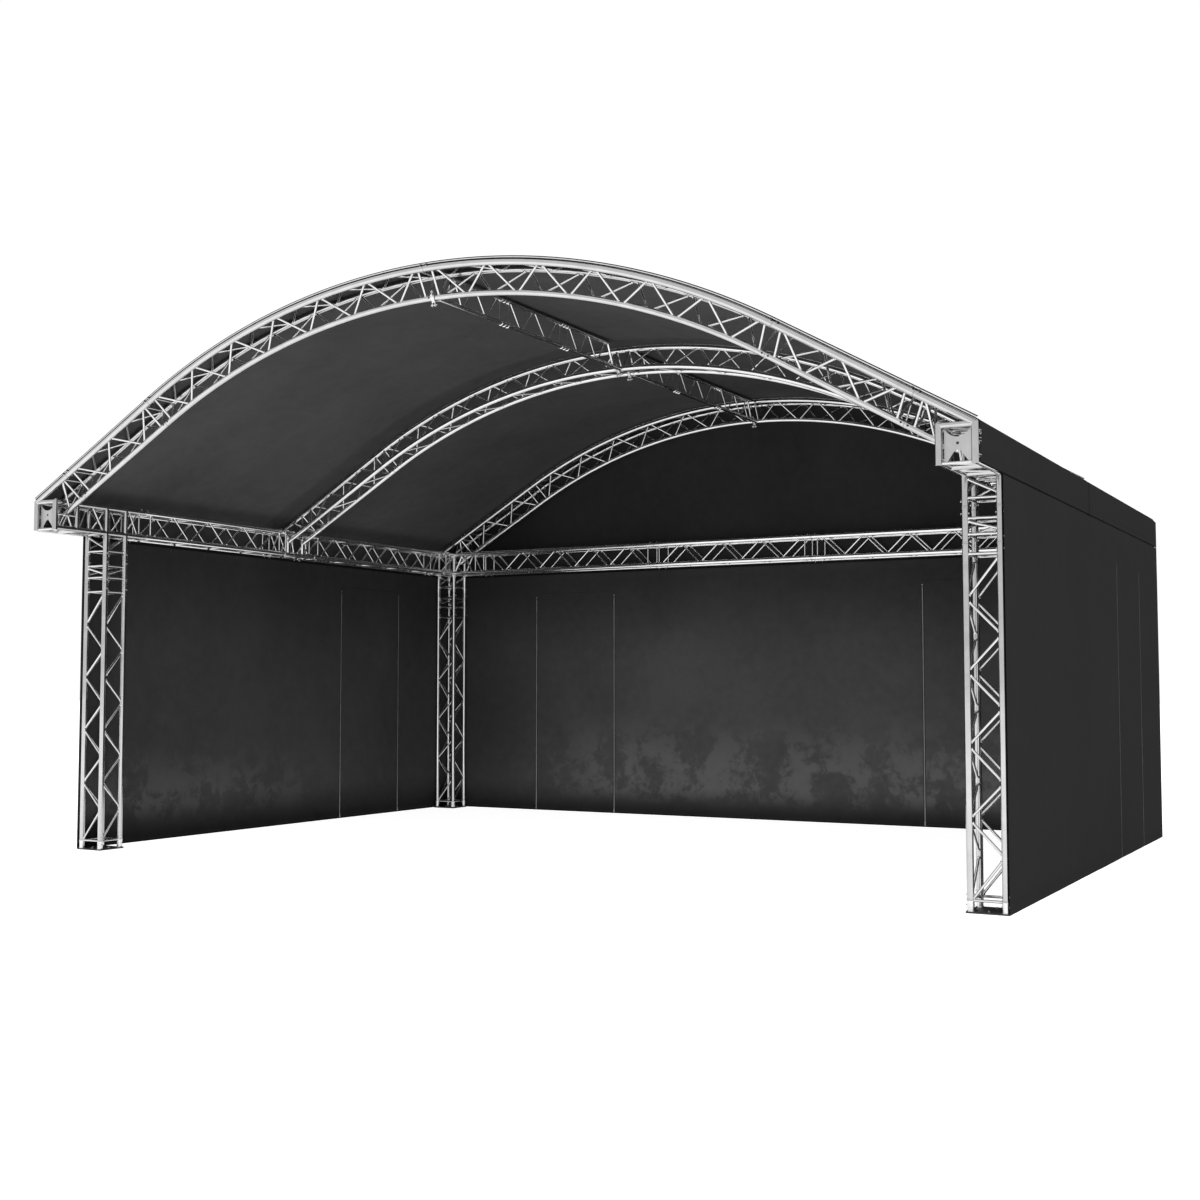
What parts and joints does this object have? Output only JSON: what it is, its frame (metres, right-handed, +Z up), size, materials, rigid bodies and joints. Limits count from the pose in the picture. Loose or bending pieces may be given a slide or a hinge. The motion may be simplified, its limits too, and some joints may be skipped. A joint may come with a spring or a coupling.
{
  "type": "arched truss stage roof",
  "caption": "Free-standing stage roof: box-truss towers and beams carry arched triangular trusses, a black barrel canopy, a gable and black walls with zipped door flaps.",
  "frame": {"origin": "on the ground, in the middle of the roof's footprint", "axes": "+X to the right seen from the open front, +Y to the back wall, +Z up"},
  "size_m": [8.806, 6.836, 4.8871],
  "materials": {
    "truss_aluminium": "drawn tube, satin",
    "plate_black": "black powder coat",
    "canopy_cloth": "matt coated black",
    "wall_cloth": "matt coated black",
    "door_cloth": "matt coated black",
    "zip_metal": "dark zinc"
  },
  "bodies": {
    "frame": {"tower_truss_front_left": "truss_aluminium", "tower_truss_front_right": "truss_aluminium", "tower_truss_back_left": "truss_aluminium", "tower_truss_back_right": "truss_aluminium", "spacer_truss_front_left": "truss_aluminium", "spacer_truss_front_right": "truss_aluminium", "spacer_truss_back_left": "truss_aluminium", "spacer_truss_back_right": "truss_aluminium", "front_block_left": "truss_aluminium", "front_block_right": "truss_aluminium", "side_block_left": "truss_aluminium", "side_block_right": "truss_aluminium", "back_corner_block_left": "truss_aluminium", "back_corner_block_right": "truss_aluminium", "side_beam_front_left": "truss_aluminium", "side_beam_front_right": "truss_aluminium", "side_beam_back_left": "truss_aluminium", "side_beam_back_right": "truss_aluminium", "back_beam_left": "truss_aluminium", "back_beam_middle": "truss_aluminium", "back_beam_right": "truss_aluminium", "arch_front_curved_left": "truss_aluminium", "arch_front_curved_right": "truss_aluminium", "arch_front_straight_left": "truss_aluminium", "arch_front_straight_right": "truss_aluminium", "arch_middle_curved_left": "truss_aluminium", "arch_middle_curved_right": "truss_aluminium", "arch_middle_straight_left": "truss_aluminium", "arch_middle_straight_right": "truss_aluminium", "arch_back_curved_left": "truss_aluminium", "arch_back_curved_right": "truss_aluminium", "arch_back_straight_left": "truss_aluminium", "arch_back_straight_right": "truss_aluminium", "ridge_ladder_front": "truss_aluminium", "ridge_ladder_back": "truss_aluminium", "base_plate_front_left": "plate_black", "base_plate_front_right": "plate_black", "base_plate_back_left": "plate_black", "base_plate_back_right": "plate_black", "canopy_front": "canopy_cloth", "canopy_back": "canopy_cloth", "back_gable": "canopy_cloth", "wall_left": "wall_cloth", "wall_right": "wall_cloth", "wall_back": "wall_cloth"},
    "door_left": {"door_left": "door_cloth"},
    "door_right": {"door_right": "door_cloth"},
    "door_back_left": {"door_back_left": "door_cloth"},
    "door_back_right": {"door_back_right": "door_cloth"},
    "zip_slider_left_front": {"zip_slider_left_front": "zip_metal"},
    "zip_slider_left_back": {"zip_slider_left_back": "zip_metal"},
    "zip_slider_right_front": {"zip_slider_right_front": "zip_metal"},
    "zip_slider_right_back": {"zip_slider_right_back": "zip_metal"},
    "zip_slider_back_left_1": {"zip_slider_back_left_1": "zip_metal"},
    "zip_slider_back_left_2": {"zip_slider_back_left_2": "zip_metal"},
    "zip_slider_back_right_1": {"zip_slider_back_right_1": "zip_metal"},
    "zip_slider_back_right_2": {"zip_slider_back_right_2": "zip_metal"}
  },
  "joints": [
    {"name": "door_left_hinge", "type": "hinge", "parent": "frame", "child": "door_left", "pos_m": [-4.4015, 1.6665, 2.68], "axis": [0, 1, 0], "range_deg": [0, 85]},
    {"name": "door_right_hinge", "type": "hinge", "parent": "frame", "child": "door_right", "pos_m": [4.4015, 1.774, 2.68], "axis": [0, -1, 0], "range_deg": [0, 85]},
    {"name": "door_back_left_hinge", "type": "hinge", "parent": "frame", "child": "door_back_left", "pos_m": [-2.4925, 3.3175, 2.68], "axis": [1, 0, 0], "range_deg": [0, 85]},
    {"name": "door_back_right_hinge", "type": "hinge", "parent": "frame", "child": "door_back_right", "pos_m": [2.504, 3.3175, 2.68], "axis": [1, 0, 0], "range_deg": [0, 85]},
    {"name": "zip_slider_left_front_slide", "type": "slide", "parent": "frame", "child": "zip_slider_left_front", "axis": [0, 0, 1], "range_m": [0, 2.6]},
    {"name": "zip_slider_left_back_slide", "type": "slide", "parent": "frame", "child": "zip_slider_left_back", "axis": [0, 0, 1], "range_m": [0, 2.6]},
    {"name": "zip_slider_right_front_slide", "type": "slide", "parent": "frame", "child": "zip_slider_right_front", "axis": [0, 0, 1], "range_m": [0, 2.6]},
    {"name": "zip_slider_right_back_slide", "type": "slide", "parent": "frame", "child": "zip_slider_right_back", "axis": [0, 0, 1], "range_m": [0, 2.6]},
    {"name": "zip_slider_back_left_1_slide", "type": "slide", "parent": "frame", "child": "zip_slider_back_left_1", "axis": [0, 0, 1], "range_m": [0, 2.6]},
    {"name": "zip_slider_back_left_2_slide", "type": "slide", "parent": "frame", "child": "zip_slider_back_left_2", "axis": [0, 0, 1], "range_m": [0, 2.6]},
    {"name": "zip_slider_back_right_1_slide", "type": "slide", "parent": "frame", "child": "zip_slider_back_right_1", "axis": [0, 0, 1], "range_m": [0, 2.6]},
    {"name": "zip_slider_back_right_2_slide", "type": "slide", "parent": "frame", "child": "zip_slider_back_right_2", "axis": [0, 0, 1], "range_m": [0, 2.6]}
  ]
}
